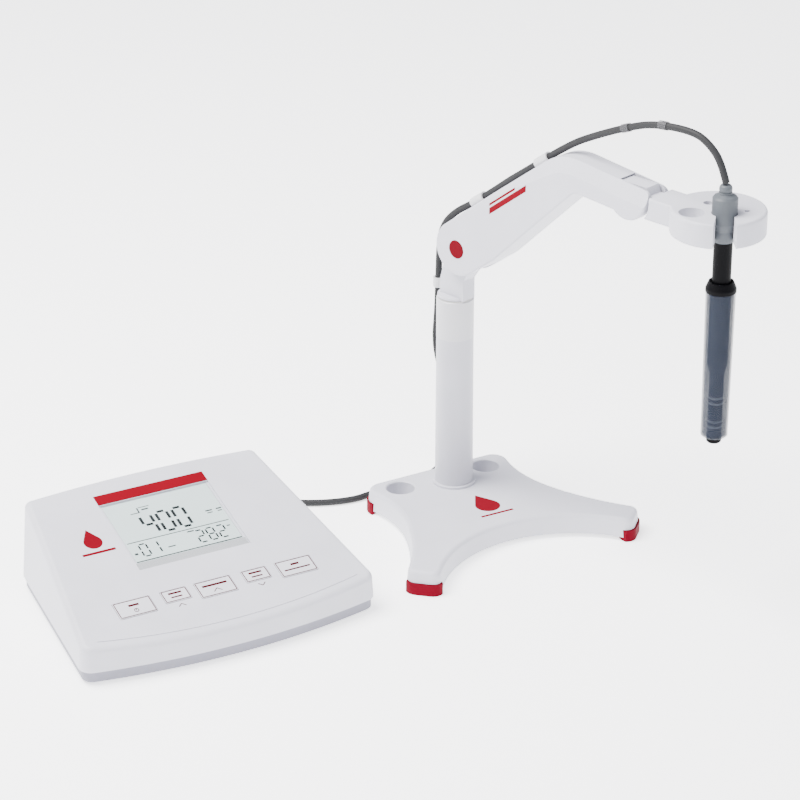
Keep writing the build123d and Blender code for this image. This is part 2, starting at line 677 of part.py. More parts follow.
# ================================================================ arm
def arm_outline(half, inset=0.0):
    """The arm's side outline, moved inwards by inset: round shoulder, bent beam, round wrist."""
    belly_shoulder = tangent_point(BELLY[0], SHOULDER, SHOULDER_R, -1)
    with BuildSketch(ARM_SIDE.offset(-half)) as outline:
        with BuildLine():
            Polyline(SHOULDER, belly_shoulder, *BELLY, WRIST, roof_at(WRIST[0]), ELBOW_TOP, TOP_SHOULDER,
                     close=True)
        make_face()
        fillet(nearest(outline.vertices(), *ELBOW_TOP), ELBOW_TOP_R)
        fillet(nearest(outline.vertices(), *BELLY[1]), 8)
        fillet(nearest(outline.vertices(), *BELLY[0]), 40)
        with Locations(SHOULDER):
            Circle(SHOULDER_R)
        with Locations(WRIST):
            Circle(WRIST_R)
        # the roof runs straight on over the wrist
        with BuildLine():
            Polyline(roof_at(140), ROOF_END, shifted(ROOF_END, (0, 30)), shifted(roof_at(140), (0, 30)),
                     close=True)
        make_face(mode=Mode.SUBTRACT)
        fillet(nearest(outline.vertices(), *roof_at(WRIST[0] + WRIST_R)), 4)
        if inset:
            offset(amount=-inset)
    return outline.sketch


def roof_at(along):
    """The point of the roof's line over the wrist at a distance along the arm."""
    share = (along - ELBOW_TOP[0]) / (ROOF_END[0] - ELBOW_TOP[0])
    return (along, ELBOW_TOP[1] + share * (ROOF_END[1] - ELBOW_TOP[1]))


TOP_SHOULDER = tangent_point(ELBOW_TOP, SHOULDER, SHOULDER_R, 1)


def arm_room(half):
    """The hollow inside the arm, short of the solid wrist cheeks."""
    with BuildPart() as room:
        extrude(arm_outline(half, ARM_WALL), amount=2 * half)
        add(across_arm([(*WRIST, WRIST_R + 2.2), (WRIST[0] + 14, WRIST[1], WRIST_R + 2.2)], 20),
            mode=Mode.SUBTRACT)
        add(roof_bevels(BEVEL_ACROSS + 3.4, BEVEL_DEEP + 5.5), mode=Mode.SUBTRACT)
    return room.part


def fork_gap():
    """The gap that the neck and the holder's tongue turn in."""
    first, last, reach = -181, -31, 48
    corners = [(SHOULDER[0] + reach * cos(radians(turn)), SHOULDER[1] + reach * sin(radians(turn)))
               for turn in (first, -140, -105, -68, last)]
    with BuildPart() as gap:
        with BuildSketch(ARM_SIDE.offset(-FORK_HALF)):
            with BuildLine():
                Polyline(SHOULDER, *corners, close=True)
            make_face()
            with Locations(SHOULDER):
                Circle(SHOULDER_R - ARM_WALL)
            with Locations(WRIST):
                Circle(WRIST_TONGUE_R + 0.7)
            with Locations((WRIST[0] + 10, WRIST[1])):
                Rectangle(20, 60)
            with Locations((WRIST[0] - 12, WRIST[1] - 7)):
                Rectangle(24, 25)
        extrude(amount=2 * FORK_HALF)
    return gap.part


ROOM_HALF = ARM_HALF - ARM_WALL
CAP_R, CAP_DEPTH = 6.6, 1.3
ARM_SCREWS = [(54.0, 252.5), (103.0, 266.2)]
WRIST_PIN_HALF = 9.8
POST_R, ARM_SCREW_R = 3.0, 1.2
BEVEL_ACROSS, BEVEL_DEEP = 5.5, 9.5


def bevel_section(edge, share, side, across, deep):
    """A triangle over one upper edge of the arm, in a plane across it, to cut the edge away."""
    plane = Plane(origin=edge @ share, x_dir=ARM_SIDE.z_dir, z_dir=edge % share)
    up = 1 if plane.y_dir.Z > 0 else -1
    spare = 0.3
    outer, upper = side * (ARM_HALF + spare * across), up * spare * deep
    with BuildSketch(plane) as section:
        with BuildLine():
            Polyline((side * (ARM_HALF - across - spare * across), upper), (outer, upper),
                     (outer, -up * (deep + spare * deep)), close=True)
        make_face()
    return section.sketch


def roof_bevels(across, deep):
    """Wedges that bevel both upper edges of the arm, fading out down the first leg."""
    with BuildLine(ARM_SIDE) as roof:
        FilletPolyline(TOP_SHOULDER, ELBOW_TOP, ROOF_END, radius=ELBOW_TOP_R)
    leg, bend, end = roof.edges().sort_by(Axis((0, 0, 0), ARM.x_dir))
    path = Wire([bend, end])
    with BuildPart() as bevels:
        for side in (-1, 1):
            sweep(bevel_section(path, 0, side, across, deep), path=path)
            loft([bevel_section(leg, 1, side, across, deep),
                  bevel_section(leg, 0.45, side, across - BEVEL_ACROSS + 0.8, deep - BEVEL_DEEP + 1.3)])
    return bevels.part


with BuildPart() as arm_body:
    extrude(arm_outline(ARM_HALF), amount=2 * ARM_HALF)
    fillet(arm_body.faces().filter_by(Axis((0, 0, 0), ARM_SIDE.z_dir)).edges(), 1.4)
    add(roof_bevels(BEVEL_ACROSS, BEVEL_DEEP), mode=Mode.SUBTRACT)
arm_hollow = arm_room(ROOM_HALF)
arm_gap = fork_gap()
cap_seats = [across_arm([(*SHOULDER, CAP_R + 0.1)], 2, side * (ARM_HALF - CAP_DEPTH + 2))
             for side in (-1, 1)]
screw_posts = across_arm([(x, y, POST_R) for x, y in ARM_SCREWS], ROOM_HALF + 0.5)
screw_seats = across_arm([(x, y, 2.5) for x, y in ARM_SCREWS], 2, -(ARM_HALF - 1.8 + 2))
shoulder_holes = across_arm([(*SHOULDER, PIN_R + HOLE_SLACK)], ARM_HALF - CAP_DEPTH)
wrist_holes = across_arm([(*WRIST, WRIST_PIN_R + HOLE_SLACK)], WRIST_PIN_HALF + 0.1)


def arm_shell(side):
    """One half of the arm, split along its middle; side is +1 for the left half."""
    with BuildPart() as shell:
        add(arm_body.part)
        add(arm_hollow, mode=Mode.SUBTRACT)
        add(screw_posts)
        add(arm_gap, mode=Mode.SUBTRACT)
        for seat in cap_seats:
            add(seat, mode=Mode.SUBTRACT)
        add(shoulder_holes, mode=Mode.SUBTRACT)
        add(wrist_holes, mode=Mode.SUBTRACT)
        add(screw_seats, mode=Mode.SUBTRACT)
        add(across_arm([(x, y, ARM_SCREW_R + HOLE_SLACK) for x, y in ARM_SCREWS], 12.2), mode=Mode.SUBTRACT)
        split(bisect_by=ARM_SIDE, keep=Keep.TOP if side < 0 else Keep.BOTTOM)
    return shell


arm_shell_right = arm_shell(-1)
save(arm_shell_right, "arm_shell_right")
arm_shell_left = arm_shell(1)
save(arm_shell_left, "arm_shell_left")

with BuildPart() as arm_screws:
    for x, y in ARM_SCREWS:
        add(across_arm([(x, y, ARM_SCREW_R)], 11.1, -1.1))
        add(across_arm([(x, y, 2.3)], 0.7, -12.9))
save(arm_screws, "arm_screws")

# ================================================================ shoulder and wrist hardware
with BuildPart() as shoulder_pin:
    add(across_arm([(*SHOULDER, PIN_R)], ARM_HALF - CAP_DEPTH - 0.1))
save(shoulder_pin, "shoulder_pin")

WASHER_MIDDLE = (TONGUE_HALF + ROOM_HALF) / 2
WASHER_HALF = (ROOM_HALF - TONGUE_HALF) / 2 - 0.1
with BuildPart() as friction_washers:
    for side in (-1, 1):
        add(across_arm([(*SHOULDER, 7.0)], WASHER_HALF, side * WASHER_MIDDLE))
    add(across_arm([(*SHOULDER, PIN_R + RUNNING)], ARM_HALF), mode=Mode.SUBTRACT)
save(friction_washers, "friction_washers")

with BuildPart() as shoulder_caps:
    for side in (-1, 1):
        add(across_arm([(*SHOULDER, CAP_R)], CAP_DEPTH / 2 + 0.2, side * (ARM_HALF - CAP_DEPTH / 2 + 0.2)))
    fillet(shoulder_caps.faces().filter_by(
        lambda face: abs(ARM_SIDE.to_local_coords(face.center()).Z) > ARM_HALF + 0.3).edges(), 0.35)
save(shoulder_caps, "shoulder_caps")

with BuildPart() as wrist_pin:
    add(across_arm([(*WRIST, WRIST_PIN_R)], WRIST_PIN_HALF))
save(wrist_pin, "wrist_pin")

LINK_EYE_R = 3.4
with BuildPart() as level_link:
    with BuildSketch(ARM_SIDE.offset(-LINK_HALF)) as link_outline:
        with BuildLine():
            Polyline(SHOULDER_LINK, (24.0, 199.5), (108.0, 287.0), WRIST_LINK)
            offset(amount=LINK_R, side=Side.BOTH, kind=Kind.ARC)
        make_face()
        with Locations(SHOULDER_LINK, WRIST_LINK):
            Circle(LINK_EYE_R)
    extrude(amount=2 * LINK_HALF)
    add(across_arm([(*SHOULDER_LINK, LINK_PIN_R + RUNNING), (*WRIST_LINK, LINK_PIN_R + 0.4)], 8),
        mode=Mode.SUBTRACT)
save(level_link, "level_link")

for pin_name, place in (("shoulder_link_pin", SHOULDER_LINK), ("wrist_link_pin", WRIST_LINK)):
    with BuildPart() as link_pin:
        add(across_arm([(*place, LINK_PIN_R)], TONGUE_HALF - 0.2))
    save(link_pin, pin_name)

# ================================================================ holder head
NECK_HALF, ARC_GAP, NECK_UNDER_Z = 12.5, 2.4, 273.0
TONGUE_TOP = 7.3                        # flat top of the tongue above the wrist pin
with BuildPart() as head_plate:
    with BuildSketch(ARM.offset(HEAD_LOW_Z)):
        with Locations(HEAD_CENTRE):
            Circle(HEAD_R)
    extrude(amount=HEAD_TOP_Z - HEAD_LOW_Z)
    fillet(head_plate.faces().sort_by(Axis.Z)[-1].edges(), 2.0)
    fillet(head_plate.faces().sort_by(Axis.Z)[0].edges(), 1.2)
with BuildPart() as head_neck:
    with BuildSketch(ARM.offset(NECK_UNDER_Z)):
        with Locations(((WRIST[0] + HEAD_CENTRE[0]) / 2, 0)):
            Rectangle(HEAD_CENTRE[0] - WRIST[0], 2 * NECK_HALF)
    extrude(amount=HEAD_TOP_Z - NECK_UNDER_Z)
    fillet(head_neck.edges().filter_by(Axis((0, 0, 0), ARM.x_dir)), 1.6)
    # hollowed to clear the arm's round wrist
    add(across_arm([(*WRIST, WRIST_R + ARC_GAP)], 20), mode=Mode.SUBTRACT)
with BuildPart() as holder_head:
    add(head_plate.part)
    add(head_neck.part)
    # the tongue that turns in the arm's fork
    with BuildSketch(ARM_SIDE.offset(-TONGUE_HALF)):
        with Locations(WRIST):
            Circle(WRIST_TONGUE_R)
        with Locations((WRIST[0] + 12, (NECK_UNDER_Z + HEAD_TOP_Z) / 2)):
            Rectangle(24, HEAD_TOP_Z - NECK_UNDER_Z - 3)
        with Locations((WRIST[0], WRIST[1] + TONGUE_TOP + 10)):
            Rectangle(40, 20, mode=Mode.SUBTRACT)
    extrude(amount=2 * TONGUE_HALF)
    add(across_arm([(*WRIST, WRIST_PIN_R + RUNNING), (*WRIST_LINK, LINK_PIN_R)], 20), mode=Mode.SUBTRACT)
    extrude(swept_slot(WRIST_LINK, 128, 184, 30, 4.4), amount=2 * SLOT_HALF, mode=Mode.SUBTRACT)
    # spare hole, small hole and dimple
    with BuildSketch(ARM.offset(HEAD_LOW_Z - 1)):
        with Locations(HOLE_CENTRE):
            Circle(HOLE_R)
        with Locations(SMALL_HOLE):
            Circle(SMALL_HOLE_R)
    extrude(amount=30, mode=Mode.SUBTRACT)
    with BuildSketch(ARM.offset(HEAD_TOP_Z - 2)):
        with Locations(DIMPLE):
            Circle(1.8)
    extrude(amount=5, mode=Mode.SUBTRACT)

# probe heights: underside of the grey body, cone, shoulder, top, boot
BODY_LOW_Z, CONE_LOW_Z, CONE_HIGH_Z, SHOULDER_Z, BODY_TOP_Z = 269.4, 277.0, 282.4, 299.0, 301.6
BODY_R, GRIP_R, MOUTH_HALF = 8.3, 6.6, 6.0
SEAT_SLACK = 0.35
# the slot: a round seat for the body, a cone, a bore, and a mouth that flares outwards
PROBE_PLANE = Plane(origin=ARM.from_local_coords(Vector(*PROBE_AT, 0)),
                    x_dir=direction(ARM_TURN + MOUTH_TURN), z_dir=(0, 0, 1))
with BuildPart() as probe_slot:
    with BuildSketch(PROBE_PLANE.offset(HEAD_LOW_Z - 1)):
        Circle(GRIP_R + SEAT_SLACK)
        with BuildLine():
            Polyline((0, -MOUTH_HALF), (9, -MOUTH_HALF), (34, -MOUTH_W / 2), (34, MOUTH_W / 2),
                     (9, MOUTH_HALF), (0, MOUTH_HALF), close=True)
        make_face()
    extrude(amount=HEAD_TOP_Z - HEAD_LOW_Z + 2)
    with BuildSketch(PROBE_PLANE.offset(CONE_LOW_Z - 0.2)):
        Circle(GRIP_R + SEAT_SLACK)
    with BuildSketch(PROBE_PLANE.offset(CONE_HIGH_Z - 0.2)):
        Circle(BODY_R + SEAT_SLACK)
    loft()
    with BuildSketch(PROBE_PLANE.offset(CONE_HIGH_Z - 0.2)):
        Circle(BODY_R + SEAT_SLACK)
    extrude(amount=10)
with BuildPart() as head_with_slot:
    add(holder_head.part)
    add(probe_slot.part, mode=Mode.SUBTRACT)
save(head_with_slot, "holder_head")


# ================================================================ probe
def turned(profile, plane=PROBE_PLANE):
    """A round solid about the probe's axis, from a list of (radius, z) points."""
    with BuildPart() as solid:
        with BuildSketch(Plane(origin=plane.origin, x_dir=plane.x_dir, z_dir=-plane.y_dir)):
            with BuildLine():
                Polyline(*profile, close=True)
            make_face()
        revolve(axis=Axis(plane.origin, (0, 0, 1)))
    return solid


probe_head = turned([(0, BODY_LOW_Z), (GRIP_R, BODY_LOW_Z), (GRIP_R, CONE_LOW_Z), (BODY_R, CONE_HIGH_Z),
                     (BODY_R, SHOULDER_Z), (BODY_R - 1.0, SHOULDER_Z + 1.3), (4.6, BODY_TOP_Z),
                     (0, BODY_TOP_Z)])
save(probe_head, "probe_head")

BOOT_TOP_Z = 307.8
probe_boot = turned([(0, BODY_TOP_Z), (4.3, BODY_TOP_Z), (4.3, BODY_TOP_Z + 1.4), (3.8, BODY_TOP_Z + 1.4),
                     (3.8, BODY_TOP_Z + 2.4), (4.3, BODY_TOP_Z + 2.4), (4.3, BODY_TOP_Z + 4.2),
                     (3.9, BOOT_TOP_Z - 0.8), (3.2, BOOT_TOP_Z), (0, BOOT_TOP_Z)])
save(probe_boot, "probe_boot")

COLLAR_LOW_Z, TUBE_COLLAR_TOP_Z, SENSOR_LOW_Z, TUBE_LOW_Z = 234.4, 241.4, 134.0, 131.0
SHAFT_R = 6.2
probe_shaft = turned([(0, COLLAR_LOW_Z - 1), (SHAFT_R, COLLAR_LOW_Z - 1), (SHAFT_R, BODY_LOW_Z),
                      (0, BODY_LOW_Z)])
save(probe_shaft, "probe_shaft")

SENSOR_R, TIP_R, TAPER_Z = 6.8, 4.8, 176.0
sensor_body = turned([(0, SENSOR_LOW_Z), (TIP_R - 0.8, SENSOR_LOW_Z), (TIP_R, SENSOR_LOW_Z + 0.8),
                      (TIP_R, TAPER_Z), (SENSOR_R, TAPER_Z + 7), (SENSOR_R, COLLAR_LOW_Z - 3),
                      (SHAFT_R, COLLAR_LOW_Z - 1), (0, COLLAR_LOW_Z - 1)])
save(sensor_body, "sensor_body")

RING_T = 1.5
with BuildPart() as sensor_rings:
    for ring_z in (138.2, 142.2, 155.2, 159.2):
        with BuildSketch(PROBE_PLANE.offset(ring_z - RING_T / 2)):
            Circle(TIP_R + 0.3)
            Circle(TIP_R, mode=Mode.SUBTRACT)
        extrude(amount=RING_T)
save(sensor_rings, "sensor_rings")

TUBE_TOP_R, TUBE_END_R, TUBE_WALL = 9.9, 9.0, 1.1
storage_tube = turned([(TUBE_TOP_R - TUBE_WALL, COLLAR_LOW_Z), (TUBE_TOP_R, COLLAR_LOW_Z),
                       (TUBE_END_R, TUBE_LOW_Z + 1), (TUBE_END_R - 1, TUBE_LOW_Z), (5.2, TUBE_LOW_Z),
                       (5.2, TUBE_LOW_Z + 1.4), (TUBE_END_R - TUBE_WALL, TUBE_LOW_Z + 1.4)])
save(storage_tube, "storage_tube")

tube_collar = turned([(7.3, COLLAR_LOW_Z), (TUBE_TOP_R + 0.3, COLLAR_LOW_Z),
                      (TUBE_TOP_R + 0.3, COLLAR_LOW_Z + 2.4),
                      (TUBE_TOP_R - 1.6, TUBE_COLLAR_TOP_Z), (7.3, TUBE_COLLAR_TOP_Z)])
save(tube_collar, "tube_collar")

PLUG_LOW_Z = 126.4
tube_plug = turned([(0, PLUG_LOW_Z), (4.3, PLUG_LOW_Z), (5.0, PLUG_LOW_Z + 0.8), (5.0, TUBE_LOW_Z + 1.4),
                    (0, TUBE_LOW_Z + 1.4)])
save(tube_plug, "tube_plug")


# ================================================================ lead
def on_bench(x, y, z):
    """A point given beside the meter."""
    return (METER_X + x, METER_Y + y, z)


def by_arm(along, across, z):
    """A point given by its distance along and across the arm from the column's axis."""
    return tuple(ARM.from_local_coords(Vector(along, across, z)))


def halfway(first, second):
    return tuple((a + b) / 2 for a, b in zip(first, second))


PLUG_Y = 172.0
bench_points = [on_bench(PROBE_SOCKET_X, PLUG_Y, SOCKET_Z), on_bench(20, 191, SOCKET_Z),
                on_bench(29, 209, 15),
                on_bench(49, 217, 5), on_bench(77, 208, BENCH_LEAD_Z), on_bench(107, 182, BENCH_LEAD_Z),
                on_bench(138, 159, BENCH_LEAD_Z), on_bench(168, 148.5, BENCH_LEAD_Z),
                on_bench(189, 152, BENCH_LEAD_Z), on_bench(210, 153, BENCH_LEAD_Z),
                on_bench(234, 151.5, 4.5), on_bench(248, 147, 20), on_bench(248, 142.5, 48),
                on_bench(241, 138, 82), on_bench(229, 135.5, 117), by_arm(-16.8, 0, 151)]
arm_points = [by_arm(-15.7, 0, 200), by_arm(-11.2, 0, 215), by_arm(0.4, 0, 227.2), by_arm(18, 0, 238.4),
              by_arm(35.5, 0, 251.8), by_arm(50, 0, 263.3), by_arm(64.5, 0, 273.9)]
arc_points = [by_arm(104, 0, 303.4), by_arm(127, 0, 315.4), by_arm(150, 0, 326.0), by_arm(174, 0, 335.0)]
tail_points = [by_arm(207, 0.5, 337.6), by_arm(220, 1.3, 331.2), by_arm(228.8, 1.9, 321.2),
               by_arm(*PROBE_AT, BOOT_TOP_Z + 1.2)]
neck_joint = halfway(bench_points[-1], arm_points[0])
arm_joint = halfway(arm_points[-1], arc_points[0])
arc_joint = halfway(arc_points[-1], tail_points[0])
LEAD_ROUTES = {"lead_bench": [*bench_points, neck_joint],
               "lead_arm": [neck_joint, *arm_points, arm_joint],
               "lead_arc": [arm_joint, *arc_points, arc_joint],
               "lead_tail": [arc_joint, *tail_points]}


def lead_tube(name, route):
    """A round lead along straight runs joined by the largest tangent arcs that the runs allow."""
    points = [Vector(*point) for point in route]
    runs = [second - first for first, second in zip(points, points[1:])]
    radii = []
    for before, after in zip(runs, runs[1:]):
        half_turn = radians(before.get_angle(after)) / 2
        radii.append(0.45 * min(before.length, after.length) / tan(half_turn))
    with BuildPart() as tube:
        with BuildLine():
            path = FilletPolyline(*points, radius=radii)
        with BuildSketch(Plane(origin=points[0], z_dir=runs[0])):
            Circle(LEAD_R)
        sweep()
    length = path.length
    print(f"{name}: {length:.1f} mm, volume ratio {tube.part.volume / (pi * LEAD_R ** 2 * length):.4f},",
          "radii", " ".join(f"{radius:.0f}" for radius in radii))
    return tube, path


lead_lengths = []
lead_paths = {}
for lead_name, route in LEAD_ROUTES.items():
    lead, lead_paths[lead_name] = lead_tube(lead_name, route)
    lead_lengths.append(lead_paths[lead_name].length)
    save(lead, lead_name)
print(f"whole lead {sum(lead_lengths):.0f} mm")


def lead_ring(plane, outer_r, length):
    """A short sleeve round the lead, centred on a plane across it."""
    with BuildPart() as ring:
        with BuildSketch(plane.offset(-length / 2)):
            Circle(outer_r)
            Circle(LEAD_R + 0.3, mode=Mode.SUBTRACT)
        extrude(amount=length)
    return ring.part


def share_at(path, along):
    """The share of a path's length where it passes a distance along the arm."""
    low, high = 0.0, 1.0
    for _ in range(30):
        middle = (low + high) / 2
        if ARM_SIDE.to_local_coords(path @ middle).X < along:
            low = middle
        else:
            high = middle
    return low


# clips on the arm, each a sleeve on a small saddle
CLIP_PLACES, CLIP_LENGTH = [22.0, 80.0], 13.0      # along the arm
SLEEVE_PLACES, SLEEVE_LENGTH = [151.0, 182.0], 6.5
with BuildPart() as lead_clips:
    for place in CLIP_PLACES:
        share = share_at(lead_paths["lead_arm"], place)
        across = Plane(origin=lead_paths["lead_arm"] @ share, x_dir=ARM_SIDE.z_dir,
                       z_dir=lead_paths["lead_arm"] % share)
        add(lead_ring(across, 3.7, CLIP_LENGTH))
        with BuildSketch(across.offset(-CLIP_LENGTH / 2)):
            with Locations((0, 3.4)):
                Rectangle(5, 1.6)
        extrude(amount=CLIP_LENGTH)
    add(arm_body.part, mode=Mode.SUBTRACT)
save(lead_clips, "lead_clips")

with BuildPart() as lead_sleeves:
    path = lead_paths["lead_arc"]
    for place in SLEEVE_PLACES:
        share = share_at(path, place)
        add(lead_ring(Plane(origin=path @ share, z_dir=path % share), 3.0, SLEEVE_LENGTH))
save(lead_sleeves, "lead_sleeves")

PLUG_R = 6.5
with BuildPart() as lead_plug:
    plug_plane = Plane(origin=(METER_X + PROBE_SOCKET_X, METER_Y, SOCKET_Z), x_dir=(-1, 0, 0),
                       z_dir=(0, 1, 0))
    with BuildSketch(plug_plane.offset(REAR_FACE_Y - 5.5)):
        Circle(4.7)
    extrude(amount=9.5)
    with BuildSketch(plug_plane.offset(REAR_FACE_Y + 3.6)):
        Circle(PLUG_R)
    extrude(amount=14)
    fillet(lead_plug.faces().sort_by(Axis.Y)[-1].edges(), 1.5)
    with BuildSketch(plug_plane.offset(REAR_FACE_Y + 17.6)):
        Circle(4.4)
    extrude(amount=PLUG_Y - REAR_FACE_Y - 17.6, taper=10)
save(lead_plug, "lead_plug")
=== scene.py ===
import bpy
import bmesh
import json
from math import atan2, cos, pi, radians, sin, tan
from mathutils import Matrix, Vector


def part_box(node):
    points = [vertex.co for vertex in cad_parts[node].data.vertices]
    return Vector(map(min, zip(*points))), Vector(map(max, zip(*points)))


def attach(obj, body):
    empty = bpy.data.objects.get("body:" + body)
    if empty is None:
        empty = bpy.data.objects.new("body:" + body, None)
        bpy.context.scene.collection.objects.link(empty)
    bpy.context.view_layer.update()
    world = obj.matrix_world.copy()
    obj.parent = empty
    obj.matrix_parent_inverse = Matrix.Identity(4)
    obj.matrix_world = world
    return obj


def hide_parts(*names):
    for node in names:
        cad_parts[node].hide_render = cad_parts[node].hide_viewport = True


# A bench meter and an electrode stand. Everything is in metres, in the CAD's own frame.
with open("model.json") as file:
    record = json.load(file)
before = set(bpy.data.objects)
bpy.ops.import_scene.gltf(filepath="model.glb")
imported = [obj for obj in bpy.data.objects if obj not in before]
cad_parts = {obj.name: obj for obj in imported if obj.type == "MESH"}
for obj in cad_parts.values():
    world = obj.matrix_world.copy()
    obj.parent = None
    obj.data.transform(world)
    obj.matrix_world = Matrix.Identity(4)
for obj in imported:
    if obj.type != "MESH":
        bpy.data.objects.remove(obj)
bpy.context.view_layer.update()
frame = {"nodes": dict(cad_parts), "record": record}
MM = 0.001

# ---------------------------------------------------------------- places, worked out from the frame
PANEL_TILT = radians(15.5)
WINDOW_LOW, WINDOW_HIGH = 58.6 * MM, 127 * MM     # the window's span up the panel's slope
WINDOW_PROUD = 0.15 * MM
ARM_TURN = radians(-73)
ARM_HALF = 14 * MM

case_low, case_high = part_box("top_case")
window_low, window_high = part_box("display_window")
METER_X = (case_low[0] + case_high[0]) / 2
METER_Y = window_low[1] - WINDOW_LOW * cos(PANEL_TILT) + WINDOW_PROUD * sin(PANEL_TILT)
PANEL_Z = window_high[2] - WINDOW_HIGH * sin(PANEL_TILT) - WINDOW_PROUD * cos(PANEL_TILT)
column_low, column_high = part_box("column")
STAND_X = (column_low[0] + column_high[0]) / 2
STAND_Y = (column_low[1] + column_high[1]) / 2
tube_low, tube_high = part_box("storage_tube")
PROBE_X = (tube_low[0] + tube_high[0]) / 2
PROBE_Y = (tube_low[1] + tube_high[1]) / 2


def on_panel(x, slope, height=0.0):
    """A point on the meter's panel: across, up the slope, and above it, in millimetres."""
    slope, height = slope * MM, height * MM
    return Vector((METER_X + x * MM,
                   METER_Y + slope * cos(PANEL_TILT) - height * sin(PANEL_TILT),
                   PANEL_Z + slope * sin(PANEL_TILT) + height * cos(PANEL_TILT)))


def on_bench(x, y, z):
    """A point given beside the meter, in millimetres."""
    return (METER_X + x * MM, METER_Y + y * MM, z * MM)


def by_arm(along, across, z):
    """A point along the arm and across it from the column's axis, in millimetres."""
    return (STAND_X + (cos(ARM_TURN) * along - sin(ARM_TURN) * across) * MM,
            STAND_Y + (sin(ARM_TURN) * along + cos(ARM_TURN) * across) * MM,
            z * MM)


# ---------------------------------------------------------------- camera, floor and lights
def add_camera():
    data = bpy.data.cameras.new("camera")
    data.lens, data.sensor_width = 135, 36
    data.clip_end = 20
    camera = bpy.data.objects.new("camera", data)
    bpy.context.collection.objects.link(camera)
    target = Vector(on_bench(284.8, 287.7, 0))
    eye = Vector(on_bench(-742.75, -1573.72, 991.46))
    camera.location = eye
    camera.rotation_euler = (target - eye).to_track_quat("-Z", "Y").to_euler()
    bpy.context.scene.camera = camera


def add_light(name, place, aim, size, power, colour=(1, 1, 1)):
    data = bpy.data.lights.new(name, "AREA")
    data.shape = "DISK"
    data.size, data.energy, data.color = size, power, colour
    lamp = bpy.data.objects.new(name, data)
    lamp.location = place
    lamp.rotation_euler = (Vector(aim) - Vector(place)).to_track_quat("-Z", "Y").to_euler()
    bpy.context.collection.objects.link(lamp)


def add_stage():
    mesh = bpy.data.meshes.new("floor")
    reach = 12
    mesh.from_pydata([(-reach, -reach, 0), (reach, -reach, 0), (reach, reach, 0), (-reach, reach, 0)],
                     [], [(0, 1, 2, 3)])
    floor = bpy.data.objects.new("floor", mesh)
    bpy.context.collection.objects.link(floor)
    surface = bpy.data.materials.new("floor")
    surface.use_nodes = True
    shader = surface.node_tree.nodes["Principled BSDF"]
    shader.inputs["Base Color"].default_value = (0.95, 0.95, 0.95, 1)
    shader.inputs["Roughness"].default_value = 0.9
    shader.inputs["Specular IOR Level"].default_value = 0.1
    shader.inputs["Emission Color"].default_value = (1, 1, 1, 1)
    shader.inputs["Emission Strength"].default_value = 1.9
    mesh.materials.append(surface)
    world = bpy.data.worlds.new("studio")
    world.use_nodes = True
    world.node_tree.nodes["Background"].inputs["Color"].default_value = (0.90, 0.91, 1.0, 1)
    world.node_tree.nodes["Background"].inputs["Strength"].default_value = 1.1
    bpy.context.scene.world = world
    add_light("key", (-0.7, 0.3, 1.7), (0, 0, 0.1), 1.3, 115, (1, 0.985, 0.975))
    add_light("fill", (1.6, -0.9, 1.2), (0, 0, 0.1), 1.2, 6, (0.93, 0.95, 1))


# ---------------------------------------------------------------- materials
def wire(tree, source, target):
    tree.links.new(source, target)


def make_material(name, colour, roughness, grain=0.0, grain_size=0.35, drift=0.03, coat=0.0, metallic=0.0,
                  haze=0.0, shine=0.5):
    """A moulded or painted surface: slow colour drift, uneven gloss, and a fine grain as bump."""
    material = bpy.data.materials.new(name)
    material.use_nodes = True
    tree = material.node_tree
    shader = tree.nodes["Principled BSDF"]
    place = tree.nodes.new("ShaderNodeTexCoord").outputs["Object"]
    clouds = tree.nodes.new("ShaderNodeTexNoise")
    clouds.inputs["Scale"].default_value = 28
    clouds.inputs["Detail"].default_value = 4
    wire(tree, place, clouds.inputs["Vector"])
    shades = tree.nodes.new("ShaderNodeValToRGB")
    shades.color_ramp.elements[0].position, shades.color_ramp.elements[1].position = 0.3, 0.7
    shades.color_ramp.elements[0].color = (*[c * (1 - drift) for c in colour], 1)
    shades.color_ramp.elements[1].color = (*[min(1, c * (1 + drift)) for c in colour], 1)
    wire(tree, clouds.outputs["Fac"], shades.inputs["Fac"])
    wire(tree, shades.outputs["Color"], shader.inputs["Base Color"])
    gloss = tree.nodes.new("ShaderNodeMapRange")
    gloss.inputs["To Min"].default_value = max(0.02, roughness - 0.05)
    gloss.inputs["To Max"].default_value = min(1, roughness + 0.05)
    wire(tree, clouds.outputs["Fac"], gloss.inputs["Value"])
    wire(tree, gloss.outputs["Result"], shader.inputs["Roughness"])
    if grain:
        speckle = tree.nodes.new("ShaderNodeTexNoise")
        speckle.inputs["Scale"].default_value = 1000 / grain_size
        speckle.inputs["Detail"].default_value = 2
        wire(tree, place, speckle.inputs["Vector"])
        bump = tree.nodes.new("ShaderNodeBump")
        bump.inputs["Strength"].default_value = grain
        bump.inputs["Distance"].default_value = 0.00005
        wire(tree, speckle.outputs["Fac"], bump.inputs["Height"])
        wire(tree, bump.outputs["Normal"], shader.inputs["Normal"])
    shader.inputs["Specular IOR Level"].default_value = shine
    shader.inputs["Coat Weight"].default_value = coat
    shader.inputs["Coat Roughness"].default_value = 0.08
    shader.inputs["Metallic"].default_value = metallic
    if haze:
        shader.inputs["Subsurface Weight"].default_value = haze
        shader.inputs["Subsurface Radius"].default_value = (1, 0.95, 0.9)
        shader.inputs["Subsurface Scale"].default_value = 0.0015
    return material


